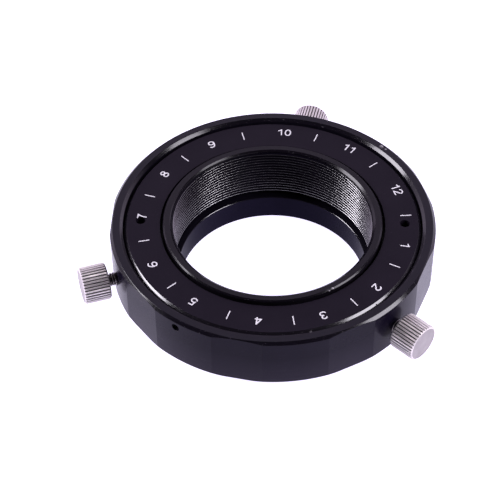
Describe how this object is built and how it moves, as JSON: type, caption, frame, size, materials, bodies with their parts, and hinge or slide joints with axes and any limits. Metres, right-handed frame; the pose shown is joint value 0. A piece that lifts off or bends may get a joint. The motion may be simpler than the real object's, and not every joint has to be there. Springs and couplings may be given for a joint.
{
  "type": "optical rotation mount",
  "caption": "Ring mount that turns an optic or camera about its optical axis: female threaded inner sleeve with numbered dial, male threaded nose, and knurled screws that lock the angle.",
  "frame": {"origin": "on the optical axis, at the shoulder plane that the male nose seats against", "axes": "+Z along the optical axis, from the male nose up through the dial; +X and +Y in the plane of the rings, with the first thumbscrew at 77.5 degrees from +X towards +Y"},
  "size_m": [0.0741, 0.0743, 0.0188],
  "materials": {
    "black_anodised_housing": "satin black anodised",
    "black_anodised_dial": "satin black anodised, engraved and filled white",
    "black_anodised_sleeve": "satin black anodised",
    "knurled_screw_steel": "turned and knurled",
    "brass_pad": "turned",
    "ptfe_washer": "matt",
    "black_oxide_steel": "black oxide"
  },
  "bodies": {
    "housing": {"housing_ring": "black_anodised_housing", "dial_ring": "black_anodised_dial", "lower_glide_washer": "ptfe_washer", "upper_glide_washer": "ptfe_washer", "dial_set_screw": "black_oxide_steel"},
    "sleeve": {"rotating_sleeve": "black_anodised_sleeve"},
    "pad_1": {"thumbscrew_pad_1": "brass_pad"},
    "pad_2": {"thumbscrew_pad_2": "brass_pad"},
    "pad_3": {"thumbscrew_pad_3": "brass_pad"},
    "screw_1": {"thumbscrew_1": "knurled_screw_steel"},
    "screw_2": {"thumbscrew_2": "knurled_screw_steel"},
    "screw_3": {"thumbscrew_3": "knurled_screw_steel"}
  },
  "joints": [
    {"name": "sleeve_rotation", "type": "hinge", "parent": "housing", "child": "sleeve", "pos_m": [0, 0, 0.00664], "axis": [0, 0, 1], "continuous": true},
    {"name": "thumbscrew_1_travel", "type": "slide", "parent": "housing", "child": "pad_1", "axis": [0.2164, 0.9763, 0], "range_m": [-0.00012, 0.002]},
    {"name": "thumbscrew_1_turn", "type": "hinge", "parent": "pad_1", "child": "screw_1", "pos_m": [0.00649, 0.02929, 0.00664], "axis": [0.2164, 0.9763, 0], "range_deg": [-89.4, 1443]},
    {"name": "thumbscrew_2_travel", "type": "slide", "parent": "housing", "child": "pad_2", "axis": [-0.9537, -0.3007, 0], "range_m": [-0.00052, 0.002]},
    {"name": "thumbscrew_2_turn", "type": "hinge", "parent": "pad_2", "child": "screw_2", "pos_m": [-0.02861, -0.00902, 0.00664], "axis": [-0.9537, -0.3007, 0], "range_deg": [-377.4, 1443]},
    {"name": "thumbscrew_3_travel", "type": "slide", "parent": "housing", "child": "pad_3", "axis": [0.7373, -0.6756, 0], "range_m": [-0.00012, 0.002]},
    {"name": "thumbscrew_3_turn", "type": "hinge", "parent": "pad_3", "child": "screw_3", "pos_m": [0.02212, -0.02027, 0.00664], "axis": [0.7373, -0.6756, 0], "range_deg": [-89.4, 1443]}
  ],
  "couplings": [
    {"joint": "thumbscrew_1_turn", "follows": "thumbscrew_1_travel", "rad_per_m": 12566},
    {"joint": "thumbscrew_2_turn", "follows": "thumbscrew_2_travel", "rad_per_m": 12566},
    {"joint": "thumbscrew_3_turn", "follows": "thumbscrew_3_travel", "rad_per_m": 12566}
  ]
}
